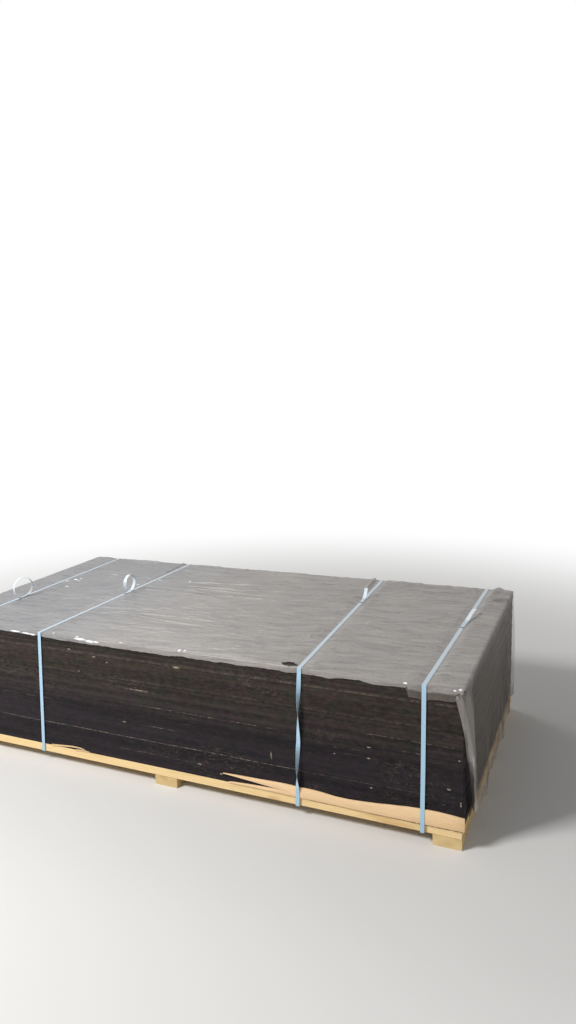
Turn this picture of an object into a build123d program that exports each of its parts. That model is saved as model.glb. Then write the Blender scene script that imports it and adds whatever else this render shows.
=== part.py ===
from build123d import *
import math
import os

# A strapped bundle of black-edged plywood sheets on a timber pallet, under a dust film.
# Millimetres. +X runs along the sheets, +Y across them to the back, +Z up.
# The origin is on the floor, at the middle of the pallet.

# Sheets
sheet_length = 2440.0
sheet_width = 1220.0
sheet_thickness = 18.0
sheet_count = 29
sheet_corner_radius = 2.0
sheet_edge_chamfer = 0.6
stagger_along = 1.2         # how far a sheet may lie off the stack's middle, lengthwise
stagger_across = 0.8        # the same, crosswise
stagger_along_phase = 2.4   # radians from one sheet to the next, so that the sheets look shuffled
stagger_across_phase = 4.1

# Pallet
bearer_width = 104.0
bearer_height = 42.0
bearer_end_set_back = 3.0   # from the sheets' end to the outer bearer
board_thickness = 36.0
board_width = 140.0
board_count = 5
board_end_offsets = [-4.0, 9.0, 2.0, -7.0, 5.0]     # saw cuts that aren't in line
timber_arris = 2.0

# Dust film
film_thickness = 1.0
film_front_drop = 26.0
film_deep_drop = 66.0       # the longer stretch near the right end
film_deep_length = 200.0
film_back_drop = 34.0
film_hem_height = 98.0      # of the end drapes, above the floor
film_hem_front_in = 48.0    # how far the hem's front corner is drawn in
film_hem_back_in = 60.0
film_end_flare = 34.0       # how far the hem stands off the sheets' ends

# Straps
strap_width = 16.0
strap_thickness = 1.0
strap_gap_left = 44.0       # from the left bearer's side to the first strap's foot
strap_gap_right = 28.0      # from the right bearer's side to the last strap's foot
strap_inner_left = 582.0    # from the sheets' left end to the second strap's foot
strap_inner_right = 625.0   # from the sheets' right end to the third strap's foot
strap_lean = [2.0, 37.0, 22.0, 6.0]         # how far the front top lies right of the foot
strap_skew = [-10.0, 22.0, -49.0, 16.0]     # how far the back top lies right of the front top

# Loose strap tails, on the top of the bundle
lap_length = 34.0           # welded overlap in front of each tail
tail_lift = 0.2             # overlap of a tail with its weld, so that they are one piece
tail_1_place = 425.0        # from the sheets' front edge to the foot of the tail
tail_1_radius = 50.0
tail_1_sweep_degrees = 325.0
tail_1_turn_degrees = 35.0  # of the tail's plane from its strap, seen from above
tail_2_place = 625.0
tail_2_radius = 39.0
tail_2_sweep_degrees = 312.0
tail_2_turn_degrees = 16.0
tail_3_place = 847.0
tail_3_radius = 42.0
tail_3_sweep_degrees = 78.0
tail_3_tip = 14.0
tail_4_place = 645.0
tail_4_length = 250.0
tail_4_turn_degrees = 2.6
tail_4_rise_degrees = 1.6

# Edge slat: a thin sawn slat under the two right-hand straps, its left end torn into two tongues.
# Places are measured from the sheets' right end, heights from the deck.
slat_thickness = 6.0
slat_overhang = 7.0
slat_foot_gap = 2.0         # of the lower edge at the torn end
slat_foot_place = 260.0     # from here the lower edge droops over the deck board to the right end
slat_foot = -1.0
slat_end_foot = -2.0
slat_end = 50.0             # the upper edge at the right end
slat_high_place = 110.0
slat_high = 57.0
slat_low_place = 425.0
slat_low = 33.0
slat_hump_place = 620.0
slat_hump = 45.0
slat_tip_place = 949.0
slat_tip_top = 37.0
slat_tip_foot = 34.0
slat_split_place = 690.0    # root of the tear between the tongues
slat_split = 16.0
slat_tongue_place = 925.0
slat_tongue_top = 6.0

half_length = sheet_length / 2
half_width = sheet_width / 2
deck_top = bearer_height + board_thickness
stack_top = deck_top + sheet_count * sheet_thickness
wrap_front = half_width + stagger_across        # the plane that the foremost sheets reach
wrap_end = half_length + stagger_along
tail_places = [tail_1_place, tail_2_place, tail_3_place, tail_4_place]

nodes = {}


def block(x0, y0, z0, x1, y1, z1):
    """A box from its lowest to its highest corner."""
    centre = ((x0 + x1) / 2, (y0 + y1) / 2, (z0 + z1) / 2)
    return Pos(*centre) * Box(x1 - x0, y1 - y0, z1 - z0)


def prism(points, plane, depth):
    """A straight prism on a polygon in the given plane."""
    face = Face(Wire.make_polygon([plane.from_local_coords((u, v, 0)) for u, v in points], close=True))
    return Solid.extrude(face, plane.z_dir * depth)


def make_sheet():
    """One sheet, with rounded corners and eased edges, lying on the origin."""
    blank = Rectangle(sheet_length, sheet_width)
    blank = fillet(blank.vertices(), sheet_corner_radius)
    sheet = extrude(blank, sheet_thickness)
    rims = sheet.edges().group_by(Axis.Z)
    return chamfer(rims[0] + rims[-1], sheet_edge_chamfer)


def sheet_place(index):
    """Where a sheet lies, a little out of line with the stack."""
    along = stagger_along * math.sin(stagger_along_phase * index)
    across = stagger_across * math.sin(stagger_across_phase * (index + 1))
    return Pos(along, across, deck_top + index * sheet_thickness)


def make_bearer(x):
    """One crosswise bearer under the deck, centred on x."""
    bearer = block(x - bearer_width / 2, -wrap_front, 0, x + bearer_width / 2, wrap_front, bearer_height)
    long_edges = bearer.edges().filter_by(Axis.Y)
    return chamfer(long_edges, timber_arris)


def make_board(index):
    """One lengthwise deck board. The outer two are flush with the foremost sheets."""
    y = (board_width / 2 - wrap_front) + index * (2 * wrap_front - board_width) / (board_count - 1)
    shift = board_end_offsets[index % len(board_end_offsets)]
    x0 = -half_length - shift / 2
    x1 = half_length + shift
    board = block(x0, y - board_width / 2, bearer_height, x1, y + board_width / 2, deck_top)
    return chamfer(board.edges().filter_by(Axis.X), timber_arris)


def end_drape(side):
    """The film that hangs down one end, leaning outwards to its hem."""
    drop = stack_top - film_hem_height
    lean = math.atan(film_end_flare / drop)
    slope = drop / math.cos(lean)
    front_in = film_hem_front_in if side > 0 else film_hem_back_in
    outline = [(-wrap_front, 0), (wrap_front, 0),
               (wrap_front - film_hem_back_in, -slope), (-wrap_front + front_in, -slope)]
    plate = prism(outline, Plane.YZ, film_thickness)
    if side < 0:
        plate = Pos(-film_thickness, 0, 0) * plate
    plate = Rot(0, -side * math.degrees(lean), 0) * plate
    return Pos(side * wrap_end, 0, stack_top) * plate


def make_film():
    """The dust film: a top, a short overhang front and back, and a drape at each end."""
    skin = film_thickness
    out = wrap_front + skin
    far = wrap_end + skin
    deep_start = wrap_end - film_deep_length
    top = block(-far, -out, stack_top, far, out, stack_top + skin)
    front = block(-wrap_end, -out, stack_top - film_front_drop, wrap_end, -wrap_front, stack_top)
    deep = block(deep_start, -out, stack_top - film_deep_drop, wrap_end, -wrap_front, stack_top)
    back = block(-wrap_end, wrap_front, stack_top - film_back_drop, wrap_end, out, stack_top)
    return top + front + deep + back + end_drape(1) + end_drape(-1)


# heights of the slat's wavy upper edge and of its lower edge, at distances from the right end
slat_upper_edge = [(-slat_overhang, slat_end), (slat_high_place, slat_high), (slat_low_place, slat_low),
                   (slat_hump_place, slat_hump), (slat_tip_place, slat_tip_top)]
slat_lower_edge = [(-slat_overhang, slat_end_foot), (slat_foot_place, slat_foot),
                   (slat_tongue_place, slat_foot_gap)]


def height_at(edge, place):
    """Height of an edge above the deck at a place, from its knots."""
    for (near, near_height), (far, far_height) in zip(edge, edge[1:]):
        if place <= far:
            return near_height + (far_height - near_height) * (place - near) / (far - near)
    return edge[-1][1]


def make_slat():
    """The thin slat in front of the lowest sheets."""
    outline = slat_upper_edge + [(slat_tip_place, slat_tip_foot), (slat_split_place, slat_split),
                                 (slat_tongue_place, slat_tongue_top)]
    outline += reversed(slat_lower_edge)
    slat = prism([(half_length - place, deck_top + z) for place, z in outline], Plane.XZ, slat_thickness)
    return Pos(0, -wrap_front, 0) * slat


def strap_foot(number):
    """X of a strap's foot at the front, for straps 0 to 3 from the left."""
    bearer_side = half_length - bearer_end_set_back - bearer_width
    feet = [-bearer_side + strap_gap_left + strap_width / 2, -half_length + strap_inner_left,
            half_length - strap_inner_right, bearer_side - strap_gap_right - strap_width / 2]
    return feet[number]


def strap_corners(number):
    """X of a strap at its front foot, front top, back top and back foot."""
    foot = strap_foot(number)
    front_top = foot + strap_lean[number]
    back_top = front_top + strap_skew[number]
    return foot, front_top, back_top, back_top - strap_lean[number]


def strap_loop(number):
    """A tight strap's loop across the load, wider than the strap at first."""
    from_right = half_length - strap_foot(number)
    over_slat = from_right < slat_tip_place
    film_face = wrap_front + film_thickness
    points = [(-wrap_front, bearer_height), (wrap_front, bearer_height),
              (film_face, stack_top - film_back_drop), (film_face, stack_top + film_thickness),
              (-film_face, stack_top + film_thickness), (-film_face, stack_top - film_deep_drop)]
    if over_slat:
        slat_face = wrap_front + slat_thickness
        points.append((-slat_face, deck_top + height_at(slat_upper_edge, from_right)))
        points.append((-slat_face, deck_top + height_at(slat_lower_edge, from_right)))
    inner = Face(Wire.make_polygon([Vector(0, y, z) for y, z in points], close=True))
    outer = offset(inner, strap_thickness, kind=Kind.ARC).face()
    spread = Vector(abs(strap_lean[number]) + abs(strap_skew[number]) + 2 * strap_width, 0, 0)
    ring = Solid.extrude(outer, spread * 2) - Solid.extrude(inner, spread * 2)
    return Pos(strap_foot(number) - spread.X, 0, 0) * ring


def slanted(x0, v0, x1, v1):
    """Corners of a strap-wide parallelogram from (x0, v0) to (x1, v1), a little longer at both ends."""
    half = strap_width / 2
    past = 2 * strap_thickness
    slope = (x1 - x0) / (v1 - v0) * past
    x0, v0, x1, v1 = x0 - slope, v0 - past, x1 + slope, v1 + past
    return [(x0 - half, v0), (x0 + half, v0), (x1 + half, v1), (x1 - half, v1)]


def curl(radius, sweep, tip):
    """A strap's tail that curls up: an arc from its foot, and a straight tip."""
    outer = radius + strap_thickness
    end = math.radians(sweep - 90)
    along = Vector(-math.sin(end), math.cos(end), 0) * tip
    out = Vector(math.cos(end), math.sin(end), 0)
    outer_arc = Edge.make_circle(outer, start_angle=-90, end_angle=sweep - 90)
    inner_arc = Edge.make_circle(radius, start_angle=-90, end_angle=sweep - 90)
    outline = [outer_arc, inner_arc, Edge.make_line(Vector(0, -radius, 0), Vector(0, -outer, 0))]
    corners = [out * outer, out * outer + along, out * radius + along, out * radius]
    if tip == 0:
        corners = [out * outer, out * radius]
    for start, stop in zip(corners, corners[1:]):
        outline.append(Edge.make_line(start, stop))
    band = Solid.extrude(Face(Wire(outline)), Vector(0, 0, strap_width))
    # the arc's plane becomes the upright plane along the strap
    return Pos(0, 0, outer - tail_lift) * (Plane.YZ.location * (Pos(0, 0, -strap_width / 2) * band))


def make_tail(number):
    """The loose end of a strap, standing or lying on its top run."""
    if number == 3:
        lowered = strap_thickness / 2 - tail_lift
        tail = Pos(0, tail_4_length / 2, lowered) * Box(strap_width, tail_4_length, strap_thickness)
        return Rot(0, 0, -tail_4_turn_degrees) * (Rot(tail_4_rise_degrees, 0, 0) * tail)
    radius = [tail_1_radius, tail_2_radius, tail_3_radius][number]
    sweep = [tail_1_sweep_degrees, tail_2_sweep_degrees, tail_3_sweep_degrees][number]
    turn = [tail_1_turn_degrees, tail_2_turn_degrees, 0][number]
    tip = [0, 0, tail_3_tip][number]
    return Rot(0, 0, -turn) * curl(radius, sweep, tip)


def make_strap(number):
    """One strap round the load, with its welded overlap and its loose tail."""
    foot, front_top, back_top, back_foot = strap_corners(number)
    loop = strap_loop(number)
    high = stack_top + film_thickness
    low = bearer_height
    edge = wrap_front - strap_thickness
    middle = (low + high) / 2
    front = loop & prism(slanted(foot, low, front_top, high), Plane.XZ.offset(edge), half_width)
    back = loop & prism(slanted(back_foot, low, back_top, high), Plane.XZ.offset(-edge), -half_width)
    inside = loop & block(-sheet_length, -edge, 0, sheet_length, edge, 2 * high)
    over = inside & prism(slanted(front_top, -edge, back_top, edge), Plane.XY.offset(middle), high)
    under = inside & prism(slanted(foot, -edge, back_foot, edge), Plane.XY.offset(middle), -high)
    place = tail_places[number]
    x = front_top + strap_skew[number] * place / sheet_width
    skew = math.degrees(math.atan(strap_skew[number] / sheet_width))
    top = high + strap_thickness
    lap = Pos(0, 0, strap_thickness / 2) * Box(strap_width, lap_length, strap_thickness)
    end = lap + Pos(0, 0, strap_thickness) * make_tail(number)
    end = Pos(x, place - half_width, top) * Rot(0, 0, -skew) * end
    return front + back + over + under + end


sheet = make_sheet()
for index in range(sheet_count):
    nodes[f"sheet_{index + 1:02d}"] = sheet_place(index) * sheet

bearer_reach = half_length - bearer_end_set_back - bearer_width / 2
for name, x in (("bearer_left", -bearer_reach), ("bearer_middle", 0.0), ("bearer_right", bearer_reach)):
    nodes[name] = make_bearer(x)
for index in range(board_count):
    nodes[f"deck_board_{index + 1}"] = make_board(index)

nodes["edge_slat"] = make_slat()
nodes["dust_film"] = make_film()
for index in range(4):
    nodes[f"strap_{index + 1}"] = make_strap(index)

os.makedirs("parts", exist_ok=True)
for name, shape in nodes.items():
    export_step(shape, f"parts/{name}.step")
print("nodes", len(nodes), "stack top", stack_top)
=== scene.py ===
# %% [markdown]
# # A strapped bundle of plywood sheets, dressed for its portrait
#
# The construction is already there: 29 sheets, a low timber pallet, a thin loose slat, four straps and
# a dust film, all at their real size. This lesson gives them their looks. The sheets and the timber
# keep their shapes and get materials. The slat, the film and the straps are modelled again, because
# torn wood, crumpled film and twisted straps are soft or ragged shapes. Two splinters are added.
#
# All measures are metres, in the frame of the bundle: +X along the sheets, +Y to the back, +Z up.

import math

import bmesh
import bpy
from mathutils import Matrix, Vector, noise


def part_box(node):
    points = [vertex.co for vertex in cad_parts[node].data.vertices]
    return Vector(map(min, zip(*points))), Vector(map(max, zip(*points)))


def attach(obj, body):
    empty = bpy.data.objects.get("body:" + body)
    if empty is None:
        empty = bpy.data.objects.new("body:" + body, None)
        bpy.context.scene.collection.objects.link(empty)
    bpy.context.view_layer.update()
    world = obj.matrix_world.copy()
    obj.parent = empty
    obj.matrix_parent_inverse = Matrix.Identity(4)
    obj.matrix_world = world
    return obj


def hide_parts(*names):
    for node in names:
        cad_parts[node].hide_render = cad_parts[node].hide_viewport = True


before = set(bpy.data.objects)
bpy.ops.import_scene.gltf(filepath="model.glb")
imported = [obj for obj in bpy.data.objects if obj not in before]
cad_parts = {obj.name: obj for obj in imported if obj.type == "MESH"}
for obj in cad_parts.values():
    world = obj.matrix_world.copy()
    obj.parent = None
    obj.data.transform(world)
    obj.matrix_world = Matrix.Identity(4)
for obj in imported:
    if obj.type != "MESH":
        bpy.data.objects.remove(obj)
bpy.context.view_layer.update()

# %% Sizes taken from the frame
sheet_names = sorted(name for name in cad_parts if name.startswith("sheet_"))
deck_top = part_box(sheet_names[0])[0].z
stack_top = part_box(sheet_names[-1])[1].z
sheet_thickness = (stack_top - deck_top) / len(sheet_names)
board_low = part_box("deck_board_1")[0]
front_plane = board_low.y
back_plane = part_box("deck_board_5")[1].y
deck_bottom = board_low.z
end_plane = max(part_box(name)[1].x for name in sheet_names)
film_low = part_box("dust_film")[0]
print("deck top", round(deck_top, 3), "stack top", round(stack_top, 3), "front", round(front_plane, 3))

# %% [markdown]
# ## The camera and the studio
#
# The picture was taken by a person standing at the right, a little over a metre and a half up, with a
# wide lens, so the camera is placed and turned the same way. The studio is plain: a pale floor that
# fades to white, and a soft pale world. Two lamps shape the bundle. The one at the front left is by
# far the stronger, because light from the side shows the wrinkles of the film. A weak one behind
# draws a sheen along the film. White comes from what camera and glossy rays see, never from more
# light on the bundle.

# %% Camera
eye_place = Vector((1.667, -3.034, 1.673))
eye_turn, eye_down, eye_roll = 23.93, 10.46, -1.85      # degrees
lens_length = 26.65                                     # mm, on a frame 36 mm high
bpy.ops.object.select_all(action="DESELECT")
bpy.ops.object.camera_add(location=eye_place)
camera = bpy.context.object
aim = Matrix.Identity(3)
for degrees, axis in ((eye_turn, "Z"), (90 - eye_down, "X"), (eye_roll, "Z")):
    aim = aim @ Matrix.Rotation(math.radians(degrees), 3, axis)
camera.rotation_euler = aim.to_euler()
camera.data.lens = lens_length
camera.data.sensor_width = 36
bpy.context.scene.camera = camera
print("camera at", [round(v, 2) for v in eye_place])


# %% Node helpers
def feed(tree, socket, value):
    """Links a socket's value to an input, or sets a plain one."""
    if isinstance(value, bpy.types.NodeSocket):
        tree.links.new(value, socket)
    else:
        socket.default_value = value


def put(tree, kind, *values, **settings):
    """Adds a node. Each value is linked or set on the input at its place; None leaves it alone."""
    node = tree.nodes.new("ShaderNode" + kind)
    for name, value in settings.items():
        setattr(node, name, value)
    for socket, value in zip(node.inputs, values):
        if value is not None:
            feed(tree, socket, value)
    return node


def maths(tree, operation, *values, clamp=False):
    """One Math node, as its result."""
    return put(tree, "Math", *values, operation=operation, use_clamp=clamp).outputs[0]


def vectors(tree, operation, *values):
    """One Vector Math node, as its result."""
    return put(tree, "VectorMath", *values, operation=operation).outputs[0]


def split(tree, vector):
    """The three parts of a vector."""
    return put(tree, "SeparateXYZ", vector).outputs


def spun(tree, vector, degrees, scale=None):
    """A vector scaled and then turned about Z."""
    return put(tree, "Mapping", vector, None, (0, 0, math.radians(degrees)), scale).outputs[0]


def times(tree, *values):
    """The product of its values."""
    product = values[0]
    for value in values[1:]:
        product = maths(tree, "MULTIPLY", product, value)
    return product


def add_up(tree, base, *terms):
    """A value with its terms added, each of them (value, factor)."""
    for value, factor in terms:
        base = maths(tree, "MULTIPLY_ADD", value, factor, base)
    return base


def apart(tree, first, second):
    """How far two values lie apart."""
    return maths(tree, "ABSOLUTE", maths(tree, "SUBTRACT", first, second))


def scaled(tree, vector, factors):
    """A vector with each part multiplied by a factor of its own."""
    return vectors(tree, "MULTIPLY", vector, factors)


def noise_at(tree, place, scale, detail, roughness):
    """Noise at a place: its value and its colour."""
    return put(tree, "TexNoise", place, None, scale, detail, roughness).outputs


def noise_along(tree, value, scale, detail, roughness):
    """Noise along one value."""
    return put(tree, "TexNoise", None, value, scale, detail, roughness, noise_dimensions="1D").outputs[0]


def seeded_noise(tree, place, seed, detail, roughness):
    """Noise at a place that is already scaled, different for each seed."""
    return put(tree, "TexNoise", place, seed, 1.0, detail, roughness, noise_dimensions="4D").outputs[0]


def smooth_mask(tree, value, low, high):
    """0 below low, 1 above high, with a soft step between. Low may be above high."""
    node = put(tree, "MapRange", value, low, high, 0.0, 1.0, interpolation_type="SMOOTHSTEP")
    return node.outputs[0]


def tint(tree, factor, under, over, way="MIX"):
    """Lays one colour over another by a factor."""
    node = tree.nodes.new("ShaderNodeMix")
    node.data_type = "RGBA"
    node.blend_type = way
    for index, value in ((0, factor), (6, under), (7, over)):
        feed(tree, node.inputs[index], value)
    return node.outputs[2]


def lay(tree, colour, mask, share, over, way="MIX"):
    """Lays a colour over another where a mask is, at a share of its strength."""
    return tint(tree, times(tree, mask, share), colour, over, way)


def rgb(red, green, blue):
    """A colour with full alpha."""
    return (red, green, blue, 1.0)


def stain(tree, colour, mask, red, green, blue):
    """Multiplies a colour by another one where a mask is."""
    return tint(tree, mask, colour, rgb(red, green, blue), "MULTIPLY")


def new_material(name):
    """A material with a Principled shader, and the two of them."""
    material = bpy.data.materials.new(name)
    material.use_nodes = True
    return material, material.node_tree, material.node_tree.nodes["Principled BSDF"]


def new_group(name, inputs, outputs):
    """A shader node group. An input is (title, kind, value), an output is (title, kind)."""
    group = bpy.data.node_groups.new(name, "ShaderNodeTree")
    for title, kind, value in inputs:
        socket = group.interface.new_socket(title, in_out="INPUT", socket_type="NodeSocket" + kind)
        if value is not None:
            socket.default_value = value
    for title, kind in outputs:
        group.interface.new_socket(title, in_out="OUTPUT", socket_type="NodeSocket" + kind)
    return group, group.nodes.new("NodeGroupInput").outputs, group.nodes.new("NodeGroupOutput").inputs


def use_group(tree, group, **values):
    """Places a group. Names of its inputs are written with _ for a space."""
    node = tree.nodes.new("ShaderNodeGroup")
    node.node_tree = group
    for name, value in values.items():
        feed(tree, node.inputs[name.replace("_", " ")], value)
    return node.outputs


def dress(piece, material):
    """Gives a piece its only material."""
    piece.data.materials.clear()
    piece.data.materials.append(material)


def object_place(tree):
    """Object coordinates, which are the frame's own metres."""
    return tree.nodes.new("ShaderNodeTexCoord").outputs["Object"]


def flat_place(tree):
    """A flat piece's own metres, which its UV map keeps."""
    return tree.nodes.new("ShaderNodeTexCoord").outputs["UV"]


def levelness(tree):
    """1 on faces that lie level, 0 on upright ones."""
    normal = tree.nodes.new("ShaderNodeNewGeometry").outputs["Normal"]
    return maths(tree, "ABSOLUTE", split(tree, normal)[2])


def cover(tree, surface, colour, roughness, specular, relief, strength, distance):
    """Gives the shader its colour, roughness and specular level, and a bump from a relief."""
    bump = put(tree, "Bump", strength, distance, 1.0)
    tree.links.new(relief, bump.inputs["Height"])
    values = {"Base Color": colour, "Roughness": roughness, "Specular IOR Level": specular,
              "Normal": bump.outputs[0]}
    for title, value in values.items():
        feed(tree, surface.inputs[title], value)


# %% Floor and world
floor_clear, floor_white = 1.7, 4.6         # where the floor starts to fade, and is all white


def seen_directly(tree):
    """1 for camera, glossy and transmission rays."""
    path = tree.nodes.new("ShaderNodeLightPath").outputs
    seen = maths(tree, "MAXIMUM", path["Is Camera Ray"], path["Is Glossy Ray"])
    return maths(tree, "MAXIMUM", seen, path["Is Transmission Ray"])


def make_floor():
    """A wide pale floor that fades to white far from the bundle."""
    bpy.ops.object.select_all(action="DESELECT")
    bpy.ops.mesh.primitive_plane_add(size=80)
    floor = bpy.context.object
    floor.name = "studio_floor"
    material, tree, surface = new_material("studio floor")
    surface.inputs["Base Color"].default_value = rgb(0.66, 0.65, 0.635)
    surface.inputs["Roughness"].default_value = 0.9
    surface.inputs["Specular IOR Level"].default_value = 0.1
    reach = put(tree, "VectorMath", object_place(tree), operation="LENGTH").outputs["Value"]
    far = times(tree, smooth_mask(tree, reach, floor_clear, floor_white), seen_directly(tree))
    white = put(tree, "Emission", rgb(1, 1, 1), 1.0).outputs[0]
    mixed = put(tree, "MixShader", far, surface.outputs[0], white).outputs[0]
    tree.links.new(mixed, tree.nodes["Material Output"].inputs["Surface"])
    floor.data.materials.append(material)


world_level = 0.36          # what the world gives as light


def make_world():
    """Soft pale light from all round, seen as white."""
    world = bpy.data.worlds.new("studio")
    world.use_nodes = True
    bpy.context.scene.world = world
    tree = world.node_tree
    light_level = maths(tree, "MULTIPLY_ADD", seen_directly(tree), 1 - world_level, world_level)
    tree.links.new(light_level, tree.nodes["Background"].inputs["Strength"])
    tree.nodes["Background"].inputs["Color"].default_value = rgb(1, 1, 1)


def make_lamp(name, place, target, size, power):
    """A wide square lamp aimed at a point."""
    bpy.ops.object.light_add(type="AREA", location=place)
    lamp = bpy.context.object
    lamp.name = name
    lamp.data.size = size
    lamp.data.energy = power
    lamp.rotation_euler = (Vector(target) - Vector(place)).to_track_quat("-Z", "Y").to_euler()
    lamp.visible_camera = False


make_floor()
make_world()
make_lamp("lamp_front", (-1.9, -3.4, 4.0), (0.1, -0.3, 0.35), 1.2, 280)
make_lamp("lamp_behind", (-2.4, 2.6, 3.6), (-0.3, 0, 0.6), 1.6, 34)
bpy.context.scene.view_settings.view_transform = "Standard"
print("studio ready")


# %% [markdown]
# ## Shared effects
#
# Streaks, pale marks, sawn wood, rubbed lines and chips turn up many times over, so each is a node
# group with named inputs. They read metres: the frame's own on sheets and timber, so that a pattern
# runs on from piece to piece, and those of the flat piece on film and straps. Features that are long
# one way and short the other come from squeezing the coordinates before the noise reads them.

# %% Group: streaks, noise drawn out along one direction
def make_streaks():
    group, given, made = new_group(
        "streaks",
        [("Vector", "Vector", None), ("Along", "Float", 3.0), ("Across", "Float", 60.0),
         ("Upright", "Float", 200.0), ("Seed", "Float", 0.0)],
        [("Value", "Float")])
    squeeze = put(group, "CombineXYZ", given["Along"], given["Across"], given["Upright"]).outputs[0]
    place = scaled(group, given["Vector"], squeeze)
    group.links.new(seeded_noise(group, place, given["Seed"], 3.0, 0.6), made["Value"])
    return group


def streaked(tree, place, along, across, upright, seed):
    """The value of the streaks group, drawn out by its three scales."""
    return use_group(tree, streaks_group, Vector=place, Along=along, Across=across, Upright=upright,
                     Seed=seed)[0]


# %% Group: marks, small pale scuffs that show only where the noise peaks
def make_marks():
    group, given, made = new_group(
        "marks",
        [("Vector", "Vector", None), ("Along", "Float", 20.0), ("Upright", "Float", 300.0),
         ("Threshold", "Float", 0.7), ("Softness", "Float", 0.03), ("Seed", "Float", 0.0)],
        [("Mask", "Float")])
    squeeze = put(group, "CombineXYZ", given["Along"], given["Along"], given["Upright"]).outputs[0]
    place = scaled(group, given["Vector"], squeeze)
    cloud = seeded_noise(group, place, given["Seed"], 2.0, 0.5)
    top = maths(group, "ADD", given["Threshold"], given["Softness"])
    group.links.new(smooth_mask(group, cloud, given["Threshold"], top), made["Mask"])
    return group


# %% Group: wood, growth rings about a pith line that runs along X
def make_wood():
    group, given, made = new_group(
        "wood",
        [("Vector", "Vector", None), ("Pith", "Vector", (0, 0, 0)), ("Ring Width", "Float", 0.005),
         ("Early", "Color", rgb(0.7, 0.48, 0.24)), ("Late", "Color", rgb(0.5, 0.28, 0.1)),
         ("Knots", "Float", 1.0), ("Seed", "Float", 0.0)],
        [("Color", "Color"), ("Height", "Float")])
    centred = vectors(group, "SUBTRACT", given["Vector"], given["Pith"])
    drawn = scaled(group, centred, (1.1, 9.0, 9.0))
    sway = seeded_noise(group, drawn, given["Seed"], 2.0, 0.5)
    across = scaled(group, centred, (0, 1, 1))
    radius = put(group, "VectorMath", across, operation="LENGTH").outputs["Value"]
    radius = add_up(group, radius, (sway, 0.03))
    turn = maths(group, "FRACT", maths(group, "DIVIDE", radius, given["Ring Width"]))
    late = times(group, smooth_mask(group, turn, 0.35, 0.86), smooth_mask(group, turn, 1.0, 0.93))
    fibre_scale = scaled(group, centred, (14.0, 900.0, 900.0))
    fibre = seeded_noise(group, fibre_scale, given["Seed"], 2.0, 0.6)
    patch_scale = scaled(group, centred, (2.2, 14.0, 14.0))
    patch = seeded_noise(group, patch_scale, 7.0, 2.0, 0.5)
    colour = tint(group, times(group, late, 0.55), given["Early"], given["Late"])
    colour = tint(group, smooth_mask(group, fibre, 0.35, 0.75), colour,
                  tint(group, 0.35, colour, given["Late"], "MULTIPLY"))
    colour = tint(group, smooth_mask(group, patch, 0.48, 0.72), colour,
                  tint(group, 0.5, colour, rgb(0.8, 0.66, 0.46), "MULTIPLY"))
    knot_place = scaled(group, centred, (2.6, 5.5, 5.5))
    knot = put(group, "TexVoronoi", knot_place, given["Seed"], 1.0, voronoi_dimensions="4D")
    knot = knot.outputs["Distance"]
    eye = times(group, smooth_mask(group, knot, 0.07, 0.05), given["Knots"])
    halo = times(group, smooth_mask(group, knot, 0.13, 0.06), given["Knots"])
    colour = lay(group, colour, halo, 0.5, rgb(0.42, 0.22, 0.09))
    colour = lay(group, colour, eye, 0.8, rgb(0.16, 0.07, 0.03))
    height = add_up(group, 0.0, (fibre, 0.6), (late, 0.5))
    group.links.new(colour, made["Color"])
    group.links.new(height, made["Height"])
    return group


streaks_group = make_streaks()
marks_group = make_marks()
wood_group = make_wood()


# %% Group: rub line, a long level line where an edge was rubbed or left bare
def make_rub_line():
    group, given, made = new_group(
        "rub line",
        [("Vector", "Vector", None), ("Height", "Float", 0.3), ("Start", "Float", -1.0),
         ("Stop", "Float", 1.0), ("Half Width", "Float", 0.002), ("Breaks", "Float", 0.5),
         ("Seed", "Float", 0.0)],
        [("Mask", "Float")])
    x, y, z = split(group, given["Vector"])
    seeded_x = maths(group, "ADD", x, given["Seed"])
    sway = noise_along(group, seeded_x, 2.2, 2.0, 0.5)
    middle = maths(group, "MULTIPLY_ADD", sway, 0.006, maths(group, "SUBTRACT", given["Height"], 0.003))
    away = apart(group, z, middle)
    swell = noise_along(group, maths(group, "ADD", seeded_x, 5.0), 9.0, 3.0, 0.6)
    breadth = times(group, given["Half Width"], add_up(group, 0.25, (swell, 1.4)))
    line = smooth_mask(group, away, breadth, times(group, breadth, 0.1))
    grain = noise_at(group, given["Vector"], 70.0, 3.0, 0.7)[0]
    line = times(group, line, smooth_mask(group, grain, 0.34, 0.62))
    broken = noise_along(group, seeded_x, 21.0, 3.0, 0.65)
    broken = smooth_mask(group, broken, maths(group, "SUBTRACT", given["Breaks"], 0.16),
                         maths(group, "ADD", given["Breaks"], 0.16))
    from_start = smooth_mask(group, x, given["Start"], maths(group, "ADD", given["Start"], 0.05))
    from_stop = smooth_mask(group, x, given["Stop"], maths(group, "SUBTRACT", given["Stop"], 0.05))
    front = smooth_mask(group, y, 0.3, -0.3)
    group.links.new(times(group, line, broken, from_start, from_stop, front), made["Mask"])
    return group


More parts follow.
